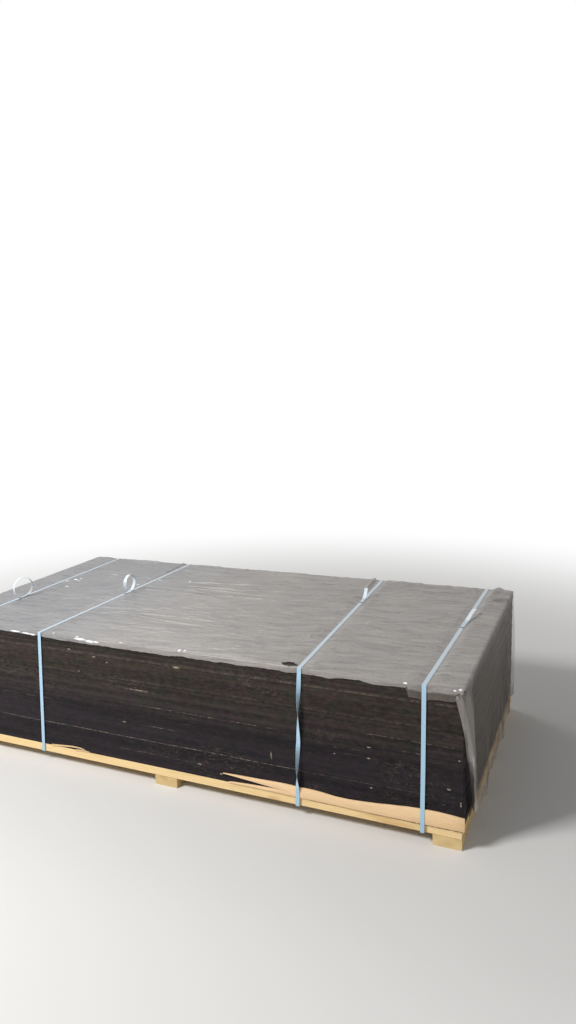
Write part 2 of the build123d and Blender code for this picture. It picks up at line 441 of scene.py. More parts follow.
# %% Group: chip, one spot on the front where the paint came off
def make_chip():
    group, given, made = new_group(
        "chip",
        [("Vector", "Vector", None), ("Place", "Vector", (0, 0, 0)), ("Length", "Float", 0.008),
         ("Tallness", "Float", 0.004)],
        [("Mask", "Float")])
    grit = noise_at(group, given["Vector"], 210.0, 3.0, 0.7)[1]
    moved = vectors(group, "MULTIPLY_ADD", grit, (0.012, 0, 0.008), given["Vector"])
    moved = vectors(group, "SUBTRACT", moved, (0.006, 0, 0.004))
    away = vectors(group, "SUBTRACT", moved, given["Place"])
    x, y, z = split(group, away)
    x = maths(group, "DIVIDE", x, given["Length"])
    z = maths(group, "DIVIDE", z, given["Tallness"])
    reach = maths(group, "SQRT", maths(group, "ADD", times(group, x, x), times(group, z, z)))
    front = smooth_mask(group, y, 0.9, 0.5)
    group.links.new(times(group, smooth_mask(group, reach, 0.62, 0.25), front), made["Mask"])
    return group


rub_group = make_rub_line()
chip_group = make_chip()
print("groups", sorted(group.name for group in bpy.data.node_groups))


def draw_lines(tree, place, colour, lines, over, seed, seed_step):
    """Draws level lines over a colour, each from its numbers in a list such as rub_lines."""
    for number, (above, start, stop, half, breaks, strength) in enumerate(lines):
        line = use_group(tree, rub_group, Vector=place, Height=deck_top + above, Start=start, Stop=stop,
                         Half_Width=half, Breaks=breaks, Seed=seed + seed_step * number)[0]
        colour = lay(tree, colour, line, strength, over)
    return colour


def any_spot(tree, vector, spots):
    """1 on any of the spots, each given as its place, length and tallness."""
    total = None
    for place, length, tallness in spots:
        spot = use_group(tree, chip_group, Vector=vector, Place=place, Length=length,
                         Tallness=tallness)[0]
        total = spot if total is None else maths(tree, "MAXIMUM", total, spot)
    return total


# %% [markdown]
# ## The sheets
#
# Each sheet is 18 mm thick. Its edges were sprayed with a dark sealer, so the plies show only as faint
# lines. No two sheets took the paint alike, so a stack is banded; it is also browner and paler
# higher up, nearly black low down. Where sheets slid over each other their corners are rubbed pale, in
# long broken lines. These lines and the larger chips are given in lists, in metres along the
# sheets and above the deck; the small scuffs between them come from noise.


# %% Marks on the front: where the paint is rubbed or chipped
# height above the deck, start, stop, half width, breaks (more is sparser), strength
rub_lines = [(0.457, -0.86, 0.62, 0.0062, 0.42, 0.15), (0.457, 0.50, 1.21, 0.0055, 0.36, 0.22),
             (0.366, -0.90, 1.16, 0.0060, 0.30, 0.11), (0.306, 0.84, 1.215, 0.0020, 0.40, 0.85),
             (0.262, -0.15, 0.52, 0.0018, 0.53, 0.80), (0.262, 0.98, 1.10, 0.0018, 0.50, 0.60),
             (0.326, -0.20, -0.02, 0.0040, 0.36, 0.80), (0.178, -0.08, 0.08, 0.0020, 0.45, 0.75),
             (0.111, -0.88, 0.62, 0.0019, 0.28, 0.72), (0.110, 0.55, 1.10, 0.0016, 0.42, 0.35),
             (0.053, -0.24, 0.14, 0.0026, 0.50, 0.45), (0.418, -0.50, 0.90, 0.0018, 0.60, 0.20),
             (0.222, -0.90, -0.55, 0.0018, 0.52, 0.45), (0.236, 0.65, 1.15, 0.0016, 0.60, 0.42)]
# place along, height above the deck, length, tallness
chips = [(-0.190, 0.176, 0.016, 0.005), (0.880, 0.254, 0.016, 0.006), (0.878, 0.211, 0.013, 0.006),
         (0.747, 0.206, 0.009, 0.005), (0.488, 0.150, 0.004, 0.034), (0.262, 0.027, 0.013, 0.007),
         (0.888, 0.096, 0.010, 0.006), (1.205, 0.262, 0.008, 0.006), (1.212, 0.098, 0.005, 0.020),
         (-0.450, 0.465, 0.015, 0.005), (-0.322, 0.446, 0.018, 0.004), (0.082, 0.452, 0.030, 0.008),
         (-0.255, 0.430, 0.008, 0.006), (-0.405, 0.372, 0.006, 0.005), (0.165, 0.052, 0.020, 0.004),
         (1.17, 0.148, 0.016, 0.006)]
# the same for joint lines of painted shade, darker than the rest
shaded_joint_lines = [(0.344, -0.90, 1.16, 0.0045, 0.30, 0.75), (0.195, -0.50, 0.35, 0.0035, 0.35, 0.6),
              (0.396, 0.10, 1.10, 0.0030, 0.45, 0.5), (0.488, -0.9, 1.2, 0.006, 0.30, 0.45)]
print(len(rub_lines), "rubbed lines and", len(chips), "chips")


# %% Sealed edges
def make_sheet_material():
    material, tree, surface = new_material("sealed plywood")
    place = object_place(tree)
    height = split(tree, place)[2]
    level = maths(tree, "DIVIDE", maths(tree, "SUBTRACT", height, deck_top), sheet_thickness)
    index = maths(tree, "FLOOR", maths(tree, "ADD", level, 0.0005))
    within = maths(tree, "FRACT", level)
    own = put(tree, "TexWhiteNoise", None, index, noise_dimensions="1D").outputs[0]
    own_b = put(tree, "TexWhiteNoise", None, maths(tree, "ADD", index, 40.5),
                noise_dimensions="1D").outputs[0]
    seed = times(tree, own, 50.0)

    # broad bands and clouds of paint, then thin streaks of each sheet
    band = noise_along(tree, height, 19.0, 3.0, 0.6)
    long_cloud = streaked(tree, place, 1.7, 1.7, 20.0, 3.0)
    patch = streaked(tree, place, 14.0, 14.0, 62.0, 12.0)
    thin_cloud = streaked(tree, place, 7.0, 7.0, 420.0, seed)
    blotch = noise_at(tree, scaled(tree, place, (38.0, 38.0, 64.0)), 1.0, 4.0, 0.70)[0]
    tone = add_up(tree, 0.0, (band, 0.75), (own, 0.16), (long_cloud, 0.55), (patch, 0.26),
                  (blotch, 0.95), (thin_cloud, 0.16))
    tone = smooth_mask(tree, tone, 1.02, 1.80)
    # browner and paler higher up the stack, nearly black low down
    raised = smooth_mask(tree, height, deck_top + 0.14, stack_top - 0.08)
    dark = tint(tree, raised, rgb(0.0055, 0.0045, 0.0060), rgb(0.0085, 0.0066, 0.0054))
    light = tint(tree, raised, rgb(0.0225, 0.0183, 0.0216), rgb(0.050, 0.0395, 0.0325))
    colour = tint(tree, tone, dark, light)

    # thirteen thin plies, and the dark joints between sheets, with painted shade deep in some of them
    ply = maths(tree, "FRACT", times(tree, within, 6.5))
    ply_line = smooth_mask(tree, apart(tree, ply, 0.5), 0.28, 0.46)
    hue = noise_at(tree, place, 42.0, 2.0, 0.6)[0]
    colour = stain(tree, colour, smooth_mask(tree, hue, 0.45, 0.62), 1.12, 0.92, 1.08)
    colour = stain(tree, colour, smooth_mask(tree, hue, 0.50, 0.36), 0.96, 1.08, 0.92)
    colour = lay(tree, colour, ply_line, 0.16, rgb(0.45, 0.42, 0.42), "MULTIPLY")
    rim = apart(tree, within, 0.5)
    joint_width = add_up(tree, 0.49, (own_b, -0.10))
    joint = times(tree, smooth_mask(tree, rim, joint_width, 0.5), add_up(tree, 0.15, (own, 0.6)))
    colour = tint(tree, joint, colour, rgb(0.004, 0.0035, 0.0035))
    # lines of painted shade in the deeper joints
    colour = draw_lines(tree, place, colour, shaded_joint_lines, rgb(0.004, 0.0035, 0.0035), 70.0, 9)

    # small scuffs, mostly along the sheets' corners
    dashes = use_group(tree, marks_group, Vector=place, Along=17.0, Upright=430.0, Threshold=0.70,
                       Softness=0.04, Seed=1.7)[0]
    near_rim = smooth_mask(tree, rim, 0.26, 0.42)
    dashes = times(tree, dashes, add_up(tree, 0.25, (near_rim, 0.75)))
    specks = use_group(tree, marks_group, Vector=place, Along=90.0, Upright=210.0, Threshold=0.765,
                       Softness=0.03, Seed=9.3)[0]
    colour = lay(tree, colour, dashes, 0.55, rgb(0.20, 0.165, 0.135))
    colour = lay(tree, colour, specks, 0.75, rgb(0.30, 0.24, 0.18))

    # wandering scratches in a few regions
    wander = noise_at(tree, place, 5.0, 3.0, 0.55)[1]
    bent = vectors(tree, "MULTIPLY_ADD", wander, (0.14, 0.14, 0.12), place)
    drawn = streaked(tree, bent, 22.0, 22.0, 46.0, 5.1)
    scratch = smooth_mask(tree, apart(tree, drawn, 0.5), 0.0085, 0.002)
    region = streaked(tree, place, 2.8, 2.8, 9.0, 8.8)
    scratch = times(tree, scratch, smooth_mask(tree, region, 0.54, 0.64))
    colour = lay(tree, colour, scratch, 0.34, rgb(0.26, 0.21, 0.16))

    # rubbed lines and chips at their own places
    colour = draw_lines(tree, place, colour, rub_lines, rgb(0.33, 0.27, 0.22), 3.0, 7)
    chipped = any_spot(tree, place, [((along, front_plane, deck_top + above), length, tallness)
                                     for along, above, length, tallness in chips])
    colour = lay(tree, colour, chipped, 0.66, rgb(0.48, 0.40, 0.31))

    # the sheets' faces are smooth and dark brown
    face = smooth_mask(tree, levelness(tree), 0.8, 0.95)
    colour = tint(tree, face, colour, rgb(0.030, 0.021, 0.016))
    rough = add_up(tree, 0.74, (thin_cloud, -0.2), (face, -0.30))
    relief = add_up(tree, thin_cloud, (ply_line, -0.35), (chipped, -0.8))
    cover(tree, surface, colour, rough, 0.17, relief, 0.5, 0.0007)
    return material


sheet_material = make_sheet_material()
for name in sheet_names:
    dress(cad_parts[name], sheet_material)
print("sealed edges on", len(sheet_names), "sheets")


# %% [markdown]
# ## The timber
#
# Deck boards, bearers and slat are fresh sawn softwood, pale yellow. Wood looks like wood from every
# side only if its rings are solid: here they are rings about a pith line, so a board's face shows
# long grain and its end shows arcs. Every piece has its own pith line, as if from its own tree.
# The bearers lie across, so their coordinates are turned a quarter turn before the rings are made.

# %% Sawn timber
def make_timber(name, pith, seed, crosswise=False, tone=(1.0, 1.0, 1.0), knots=1.0):
    """Sawn softwood with its pith line through a point; crosswise timber runs along Y."""
    material, tree, surface = new_material(name)
    place = object_place(tree)
    if crosswise:
        place = spun(tree, place, 90)
        pith = (pith[1], pith[0], pith[2])
    early = rgb(0.80 * tone[0], 0.615 * tone[1], 0.375 * tone[2])
    late = rgb(0.66 * tone[0], 0.445 * tone[1], 0.225 * tone[2])
    wood = use_group(tree, wood_group, Vector=place, Pith=pith, Ring_Width=0.0052, Early=early, Late=late,
                     Knots=knots, Seed=seed)
    dirt = streaked(tree, place, 4.0, 12.0, 22.0, seed + 2)
    dirty = smooth_mask(tree, dirt, 0.52, 0.78)
    colour = lay(tree, wood["Color"], dirty, 0.45, rgb(0.62, 0.52, 0.42), "MULTIPLY")
    sawn = streaked(tree, place, 170.0, 9.0, 14.0, seed)
    relief = add_up(tree, wood["Height"], (sawn, 0.9))
    cover(tree, surface, colour, 0.72, 0.25, relief, 0.5, 0.0008)
    return material


def shade_under_slat(material):
    """A line of painted shadow on the front board, close under the slat, that fades to the left."""
    tree = material.node_tree
    surface = tree.nodes["Principled BSDF"]
    plain = surface.inputs["Base Color"].links[0].from_socket
    lines = [(-0.0062, 0.86, 1.30, 0.0045, 0.05, 0.85), (-0.0050, 0.62, 1.30, 0.0026, 0.30, 0.6)]
    colour = draw_lines(tree, object_place(tree), plain, lines, rgb(0.10, 0.065, 0.030), 50.0, 0)
    tree.links.new(colour, surface.inputs["Base Color"])


board_names = sorted(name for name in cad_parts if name.startswith("deck_board_"))
bearer_names = sorted(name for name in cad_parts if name.startswith("bearer_"))
for order, name in enumerate(board_names + bearer_names):
    low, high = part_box(name)
    across = name in bearer_names
    middle = (low + high) / 2
    pith_drop = (0.055, 0.09, 0.07, 0.045, 0.1)[order % 5]
    side = 0.03 * (order % 3 - 1)
    if across:
        pith = (middle.x + side, middle.y, middle.z - pith_drop)
        warm = (0.95, 0.83, 0.93)[order - len(board_names)]
    else:
        pith = (middle.x, middle.y + side, middle.z - pith_drop)
        warm = 1.08 - 0.03 * (order % 4)
    tone = (warm, warm + 0.01, warm - 0.10)
    timber = make_timber("timber_" + name, pith, 3.1 * order + 0.7, across, tone)
    if name == "deck_board_1":
        shade_under_slat(timber)
    dress(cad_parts[name], timber)
print("timber on", len(board_names), "boards and", len(bearer_names), "bearers")


# %% [markdown]
# ## Modelling helpers
#
# New pieces start from a primitive. The wooden ones are shaped with edit-mode operators, which act on
# what is selected. So the first helper clears the selection and adds a box, the next picks faces by
# their place, the third extrudes them, and the last one closes and finishes the piece.

# %% Edit-mode helpers
def start_cube(name, low, high):
    """A box between two corners, in edit mode."""
    low, high = Vector(low), Vector(high)
    bpy.ops.object.select_all(action="DESELECT")
    bpy.ops.mesh.primitive_cube_add(size=1, location=(low + high) / 2)
    piece = bpy.context.object
    piece.name = name
    bpy.ops.object.mode_set(mode="EDIT")
    bpy.ops.transform.resize(value=high - low)
    bpy.ops.object.mode_set(mode="OBJECT")
    bpy.ops.object.transform_apply(location=True, rotation=True, scale=True)
    bpy.ops.object.mode_set(mode="EDIT")
    return piece


def pick_faces(piece, chosen):
    """Selects only the faces for which chosen(centre, normal) is true."""
    shape = bmesh.from_edit_mesh(piece.data)
    bpy.ops.mesh.select_all(action="DESELECT")
    bpy.ops.mesh.select_mode(type="FACE")
    for face in shape.faces:
        face.select_set(bool(chosen(face.calc_center_median(), face.normal)))
    bmesh.update_edit_mesh(piece.data)


def pull(step):
    """Extrudes what is selected by a step."""
    bpy.ops.mesh.extrude_region_move(TRANSFORM_OT_translate={"value": Vector(step)})


def finish_piece(piece, material, bevel=0.0):
    """Leaves edit mode, closes the piece, rounds its edges, and gives it its material, slot and ride."""
    bpy.ops.mesh.select_all(action="SELECT")
    bpy.ops.mesh.remove_doubles(threshold=0.00001)
    bpy.ops.mesh.normals_make_consistent(inside=False)
    bpy.ops.object.mode_set(mode="OBJECT")
    if bevel:
        modifier = piece.modifiers.new("rounding", "BEVEL")
        modifier.width = bevel
        modifier.segments = 2
        modifier.limit_method = "ANGLE"
        bpy.ops.object.modifier_apply(modifier=modifier.name)
    bpy.ops.object.shade_smooth_by_angle(angle=math.radians(35))
    dress(piece, material)
    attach(piece, "root")
    print(piece.name, len(piece.data.polygons), "faces")


# %% [markdown]
# ## The slat
#
# A thin strip of sawn wood is caught under the two right-hand straps, in front of the lowest sheets.
# It is cut square at the right, its upper edge sinks and rises along the grain, and at the left it was
# torn off in two tongues with a dark split between them. It could be cut from a plank by boolean, but
# pulling its end face run by run gives the wavy edge directly, and the split comes from dividing that
# face and pulling each half by itself.

# %% The torn slat
slat_low, slat_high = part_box("edge_slat")
slat_right = slat_high.x
# distance from the right end, and heights of the lower and the upper edge above the deck
slat_shape = [(0.0, -0.0008, 0.0500), (0.05, -0.0010, 0.0535), (0.10, -0.0014, 0.0565),
              (0.15, -0.0010, 0.0555), (0.20, -0.0010, 0.0520), (0.26, -0.0014, 0.0468),
              (0.32, -0.0020, 0.0405), (0.37, -0.0018, 0.0358), (0.43, -0.0010, 0.0332),
              (0.48, -0.0004, 0.0345), (0.53, 0.0002, 0.0392), (0.58, 0.0004, 0.0420),
              (0.63, 0.0006, 0.0434), (0.68, 0.0008, 0.0442)]
upper_tongue = [(0.73, 0.0185, 0.0436), (0.78, 0.0228, 0.0418), (0.84, 0.0275, 0.0402),
                (0.90, 0.0320, 0.0388), (0.93, 0.0345, 0.0376), (0.954, 0.0358, 0.0366)]
lower_tongue = [(0.73, 0.0012, 0.0148), (0.78, 0.0014, 0.0125), (0.83, 0.0018, 0.0108),
                (0.88, 0.0016, 0.0082), (0.91, 0.0024, 0.0062), (0.929, 0.0028, 0.0036)]
slat_split_height = 0.0165


def set_end(piece, x, low, high):
    """Moves the corners of the selected end face to a place along X and to two heights."""
    shape = bmesh.from_edit_mesh(piece.data)
    corners = [v for v in shape.verts if v.select]
    middle = sum(v.co.z for v in corners) / len(corners)
    for corner in corners:
        corner.co.x = x
        corner.co.z = high if corner.co.z > middle else low
    bmesh.update_edit_mesh(piece.data)


def make_slat():
    (_, foot, head), second = slat_shape[:2]
    piece = start_cube("torn_slat", (slat_right - second[0], slat_low.y, deck_top + foot),
                       (slat_right, slat_high.y, deck_top + head))
    pick_faces(piece, lambda centre, normal: normal.x < -0.9)
    set_end(piece, slat_right - second[0], deck_top + second[1], deck_top + second[2])
    for place, foot, head in slat_shape[2:]:
        pull((-0.01, 0, 0))
        head += 0.0006 * math.sin(37 * place)
        set_end(piece, slat_right - place, deck_top + foot, deck_top + head)
    root_x = slat_right - slat_shape[-1][0]
    bpy.ops.mesh.select_all(action="SELECT")
    bpy.ops.mesh.bisect(plane_co=(0, 0, deck_top + slat_split_height), plane_no=(0, 0, 1))
    for tongue, above in ((upper_tongue, True), (lower_tongue, False)):
        split = deck_top + slat_split_height
        pick_faces(piece, lambda centre, normal: normal.x < -0.7 and abs(centre.x - root_x) < 0.002
                   and (centre.z > split) == above)
        for place, low, high in tongue:
            pull((-0.01, 0, 0))
            set_end(piece, slat_right - place, deck_top + low, deck_top + high)
    pith = (slat_low.x, slat_low.y - 0.02, deck_top - 0.03)
    material = make_timber("timber_slat", pith, 31.0, tone=(1.09, 1.05, 1.06), knots=0.0)
    finish_piece(piece, material, 0.0007)
    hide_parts("edge_slat")


make_slat()


# %% [markdown]
# ## Splinters
#
# Near the second strap two splinters, a long one and a short one, have lifted from the front deck
# board's upper corner. Each is thick where it is still rooted in the board, and thins to a point.

# %% Splinters of the front deck board
def make_splinter(name, start, runs, thickness):
    """A sliver from a rooted end; runs are (length, rise, height left)."""
    x, y, z = start
    piece = start_cube(name, (x - 0.004, y, z - 0.003), (x, y + thickness, z + runs[0][2]))
    pick_faces(piece, lambda centre, normal: normal.x > 0.9)
    for length, rise, height in runs:
        pull((0.005, 0, 0))
        x += length
        z += rise
        set_end(piece, x, z, z + height)
    finish_piece(piece, make_timber("timber_" + name, (x, y, z - 0.03), 44.0, knots=0.0))


make_splinter("splinter_long", (-0.585, front_plane - 0.0032, deck_top - 0.001),
              [(0.02, 0.002, 0.0065), (0.04, 0.0045, 0.006), (0.05, 0.0055, 0.005),
               (0.04, 0.001, 0.0035), (0.025, -0.003, 0.0012)], 0.003)
make_splinter("splinter_short", (-0.455, front_plane - 0.0026, deck_top - 0.001),
              [(0.02, 0.0015, 0.0045), (0.03, 0.002, 0.0032), (0.022, -0.0005, 0.001)], 0.0024)


# %% [markdown]
# ## The dust film
#
# A thin milky sheet was laid over the stack, longer than the sheets, so that it hangs down both ends
# and barely folds over the front and back. It could be dropped as simulated cloth, but the
# picture shows where each fold lies, so the flat sheet is a grid and every point of it is carried
# from its flat place to its draped place by functions. Down the ends the grid follows a line
# seen from above, which changes with depth: near the front right corner that line folds back on
# itself, as the film does. Small wrinkles are ridged noise, long one way, flat under the straps. The
# longest creases are given in a list.

# %% Straps' lines, read from the frame
def run_middle(name, at_back, at_top):
    """X of a strap where it passes the front or back, at the top or the foot."""
    points = [v.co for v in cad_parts[name].data.vertices]
    points = [p for p in points if (p.y > 0.6) == at_back and abs(p.y) > 0.6]
    points = [p for p in points if (p.z > stack_top - 0.004) == at_top and (at_top or p.z < deck_top)]
    return (min(p.x for p in points) + max(p.x for p in points)) / 2


strap_names = ["strap_1", "strap_2", "strap_3", "strap_4"]
strap_front_top = [run_middle(name, False, True) for name in strap_names]
strap_back_top = [run_middle(name, True, True) for name in strap_names]
strap_front_foot = [run_middle(name, False, False) for name in strap_names]
strap_back_foot = [run_middle(name, True, False) for name in strap_names]
print("straps at", [round(x, 3) for x in strap_front_foot])


def strap_line(index, y):
    """X of a strap's top run at a place across."""
    share = (y - front_plane) / (back_plane - front_plane)
    return strap_front_top[index] + share * (strap_back_top[index] - strap_front_top[index])


def nearest_strap(x, y):
    """Signed distance from the nearest strap's top run."""
    return min((x - strap_line(index, y) for index in range(4)), key=abs)


# %% Wrinkles of the film's top
film_lift = 0.0011          # lowest height of the film above the sheets
# long creases: from x, y to x, y, with height and half width
creases = [(-0.560, 0.262, 0.360, 0.370, 0.0052, 0.0095),
           (-0.420, 0.200, 0.340, 0.287, 0.0046, 0.0090), (0.630, 0.415, 1.060, 0.512, 0.0034, 0.0080),
           (0.640, 0.300, 1.040, 0.372, 0.0026, 0.0070),
           (-0.960, -0.228, -0.670, -0.095, 0.0044, 0.0095),
           (-0.374, -0.280, -0.372, -0.560, 0.0022, 0.0100),
           (-0.920, 0.279, -0.730, 0.284, 0.0040, 0.0060),
           (0.900, 0.040, 1.050, 0.190, 0.0036, 0.0080),
           (0.690, -0.070, 0.930, -0.260, 0.0040, 0.0110),
           (0.740, -0.020, 0.900, -0.120, 0.0034, 0.0080),
           (0.400, -0.430, 0.585, -0.372, 0.0030, 0.0070),
           (0.300, -0.530, 0.590, -0.470, 0.0026, 0.0070),
           (-0.560, -0.330, -0.200, -0.120, 0.0026, 0.0110),
           (-0.320, -0.130, 0.050, -0.250, 0.0022, 0.0100),
           (-1.200, 0.420, -1.075, 0.250, 0.0036, 0.0080),
           (-1.200, -0.330, -1.070, -0.200, 0.0040, 0.0090),
           (1.085, 0.470, 1.212, 0.600, 0.0070, 0.0075), (1.060, 0.330, 1.205, 0.560, 0.0060, 0.0075),
           (1.090, 0.560, 1.215, 0.606, 0.0060, 0.0065), (1.120, 0.300, 1.212, 0.500, 0.0045, 0.0070)]


def step(value, low, high):
    """Smooth step from 0 at low to 1 at high."""
    t = min(max((value - low) / (high - low), 0.0), 1.0)
    return t * t * (3 - 2 * t)


def ridge(x, y, seed, width=0.25):
    """Sharp ridges of noise: 1 on the crease, 0 at a width from it."""
    return max(0.0, 1.0 - abs(noise.noise((x, y, seed))) / width)


def crease_height(x, y):
    """Height of the hand-placed creases, each with a thin crown that wavers and fades at its ends."""
    height = 0.0
    for x0, y0, x1, y1, rise, half in creases:
        length = math.hypot(x1 - x0, y1 - y0)
        along = ((x - x0) * (x1 - x0) + (y - y0) * (y1 - y0)) / length
        if not -0.06 * length < along < 1.06 * length:
            continue
        away = ((y - y0) * (x1 - x0) - (x - x0) * (y1 - y0)) / length
        away += 0.014 * noise.noise((along * 4, y0 * 9, 4.0))
        away += 0.003 * noise.noise((along * 22, y0 * 9, 5.0))
        share = along / length
        ends = step(share, -0.04, 0.18) * step(share, 1.04, 0.80)
        waver = 0.7 + 0.6 * noise.noise((along * 9, y0, 6.0))
        height += rise * ends * math.exp(-(away / half) ** 2) * waver
    return height


def top_wrinkle(x, y):
    """Height of the film over the sheets."""
    tilt = 0.13 * x * step(x, -0.5, 0.5)
    band = y - tilt + 0.05 * noise.noise((x * 1.1, y * 2.0, 3.0))
    coarse = ridge(x * 1.5, band * 15, 1.0) ** 2 * 0.0038
    coarse *= step(noise.noise((x * 1.2, y * 3, 4.0)), -0.3, 0.2)
    middle = ridge(x * 3.2, band * 38, 5.0, 0.3) ** 1.5 * 0.0030
    fine = ridge(x * 6.5, band * 72, 2.0, 0.35) * 0.0015
    skew = ridge(x * 5 + y * 9, y * 14 - x * 3, 8.0, 0.12) ** 2 * 0.0022
    swell = max(0.0, 0.0020 * (0.5 + noise.noise((x * 2.3, y * 3.1, 6.0))))
    strength = 0.65 + 0.5 * noise.noise((x * 1.7, y * 1.9, 14.0))
    strength *= 0.42 + 0.53 * step(x, 0.0, 0.55) + 0.35 * step(x, -0.5, -0.9)
    height = coarse + (middle + fine) * strength + skew + swell + crease_height(x, y)

    # pleats beside the inner straps, highest at the back edge
    for index, offset, start in ((1, -0.030, 0.06), (2, -0.034, 0.16)):
        spread = 0.5 + 0.6 * step(y, start, back_plane)
        away = (x - strap_line(index, y) - offset * spread) / 0.011
        height += 0.0095 * math.exp(-away * away) * step(y, start, back_plane - 0.03)
    # pulls that run from the last strap to the back right corner
    if x > strap_line(3, y) and y > 0.2:
        turn = math.atan2(y - 0.30, x - strap_line(3, y) + 0.03)
        pulled = max(0.0, math.cos(turn * 15 + 1.5 * noise.noise((x * 4, y * 4, 9.0)))) ** 2
        height += 0.0110 * pulled * step(y, 0.24, 0.44) * step(x - strap_line(3, y), 0.004, 0.05)
    # small pulls that fan from each strap
    near = nearest_strap(x, y)
    fan = ridge(y * 30 + abs(near) * 14, near * 5, 12.0, 0.35) ** 2
    height += 0.0024 * fan * step(abs(near), 0.010, 0.03) * step(abs(near), 0.12, 0.05)
    # the straps press the film down, and it swells a little beside them
    left_part = step(x, 0.0, -0.5)
    pressed = step(abs(near), 0.009, 0.042 + 0.010 * left_part)
    swell_beside = (0.0003 + 0.0009 * left_part) * math.exp(-((abs(near) - 0.020) / 0.006) ** 2)
    # the back edge stands up here and there
    lips = max(0.0, noise.noise((x * 5.5, 2.0, 17.0))) + 0.6 * max(0.0, noise.noise((x * 17, 3.0, 18.0)))
    height += 0.0075 * lips * step(y, back_plane - 0.05, back_plane - 0.012)
    edge = step(min(y - front_plane, end_plane - abs(x)), 0.001, 0.02)
    return film_lift + (height * pressed + swell_beside) * (0.25 + 0.75 * edge)


# %% The film's flat grid
end_drop = stack_top - film_low.z
edge_gap = 0.0014           # how far the film stands off the sheets where a strap holds it
loose_gap = 0.0026          # and where it is free
tight_bend, loose_bend = 0.0018, 0.0065     # radius of the film over the front edge
top_edge_x = end_plane + edge_gap
hem_front = 0.025
hem_deep = 0.062
hem_room = 0.034            # flat width of the film that bends over the front and the back
arc_rows, hem_rows, top_rows, end_columns = 3, 6, 206, 48
end_points = 64             # points of the film's line across an end, behind the front corner
wide_step, fine_step, fine_reach = 0.0115, 0.0036, 0.030
drop_steps = [end_drop * (index / end_columns) ** 0.96 for index in range(end_columns + 1)]


def top_column_places():
    """Places along X, close together where a strap presses the film."""
    places = [-top_edge_x]
    spans = [(min(front, back) - fine_reach, max(front, back) + fine_reach)
             for front, back in zip(strap_front_top, strap_back_top)]
    while places[-1] < top_edge_x:
        x = places[-1]
        near = any(low - wide_step < x < high for low, high in spans)
        places.append(x + (fine_step if near else wide_step))
    scale = 2 * top_edge_x / (places[-1] + top_edge_x)
    return [-top_edge_x + (x + top_edge_x) * scale for x in places]


columns = [-top_edge_x - drop for drop in reversed(drop_steps[1:])] + top_column_places()
columns += [top_edge_x + drop for drop in drop_steps[1:]]
front_start = front_plane + loose_bend      # where the film starts to bend over the front edge
back_start = back_plane - loose_bend
bend_steps = [loose_bend * 1.6 * share / arc_rows for share in range(1, arc_rows + 1)]
bend_end = bend_steps[-1]
bend_steps += [bend_end + (hem_room - bend_end) * share / hem_rows for share in range(1, hem_rows + 1)]
rows = [front_start - reach for reach in reversed(bend_steps)]
rows += [front_start + (back_start - front_start) * share / top_rows for share in range(top_rows + 1)]
rows += [back_start + reach for reach in bend_steps]
print("film grid", len(columns), "by", len(rows))


def front_hem(x):
    """How far the film hangs over the front at a place along."""
    hem = hem_front - 0.012 * step(x, -0.45, -0.80)
    hem += 0.006 * noise.noise((x * 5.1, 1.5, 0.0)) + 0.004 * noise.noise((x * 23, 4.5, 0.0))
    hem += 0.003 * noise.noise((x * 80, 7.5, 0.0))
    hem -= 0.012 * math.exp(-((x - 0.82) / 0.05) ** 4) + 0.005 * math.exp(-((x - 0.11) / 0.025) ** 2)
    deep_start = 1.023
    deep = step(x, deep_start - 0.002, deep_start + 0.002) * step(x, 1.205, 1.19)
    deep_hem = hem_deep + 0.008 * step(x, 1.15, deep_start) + 0.004 * noise.noise((x * 31, 2.5, 0.0))
    return hem + (deep_hem - hem) * deep


# %% The film's line down the ends, seen from above
def between(keys, depth):
    """A point between given (depth, x, y) keys."""
    for (d0, x0, y0), (d1, x1, y1) in zip(keys, keys[1:]):
        if depth <= d1:
            share = max(0.0, (depth - d0) / (d1 - d0))
            return Vector((x0 + (x1 - x0) * share, y0 + (y1 - y0) * share))
    return Vector(keys[-1][1:])


# (depth, x, y) of the free front edge, of the stack's corner, and of the crease where the film folds back
right_edge_keys = [(0.0, 1.1835, -0.6155), (0.017, 1.1847, -0.6155), (0.061, 1.1980, -0.6158),
                   (0.110, 1.2113, -0.6158), (0.155, 1.2216, -0.6158), (0.186, 1.2262, -0.6150),
                   (0.235, 1.2275, -0.6030), (0.302, 1.2275, -0.5640), (0.393, 1.2275, -0.5220),
                   (0.504, 1.2275, -0.4770)]
right_corner_keys = [(0.0, 1.2236, -0.6155), (0.150, 1.2252, -0.6158), (0.19, 1.2320, -0.6090),
                     (0.235, 1.2390, -0.5920), (0.333, 1.2400, -0.5620), (0.411, 1.2395, -0.5360),
                     (0.504, 1.2340, -0.4940)]
right_crease_keys = [(0.0, 1.2240, -0.4600), (0.018, 1.2290, -0.5150), (0.04, 1.2350, -0.5560),
                     (0.084, 1.2420, -0.5610), (0.134, 1.2480, -0.5790), (0.274, 1.2530, -0.5860),
                     (0.36, 1.2515, -0.5760), (0.43, 1.2470, -0.5450), (0.504, 1.2400, -0.5080)]


